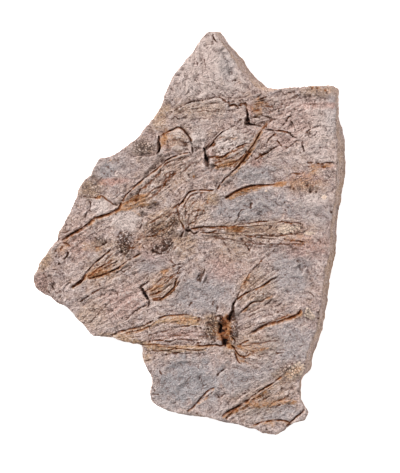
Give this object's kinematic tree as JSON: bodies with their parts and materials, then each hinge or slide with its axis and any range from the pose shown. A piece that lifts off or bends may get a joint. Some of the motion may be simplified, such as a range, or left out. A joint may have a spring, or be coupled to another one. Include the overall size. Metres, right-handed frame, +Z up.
{
  "type": "crinoid fossil",
  "caption": "Irregular plate of rough siltstone lying on its back, its upper face covered with iron-stained moulds of sea lily columns, cups and arms.",
  "frame": {"origin": "middle of the plate's box in X and Y, on the flat back surface that it rests on", "axes": "+Z up out of the fossil-bearing face, +Y towards the pointed end along the longest extent, +X across the plate towards its straighter long side"},
  "size_m": [0.158, 0.202, 0.0178],
  "materials": {
    "siltstone": "rough matt broken siltstone, mauve-grey with blue-grey and pinkish patches, dark brown and rust-orange iron stain in the fossil furrows, pale cream crusts"
  },
  "bodies": {
    "root": {"fossil_slab": "siltstone"}
  },
  "joints": []
}
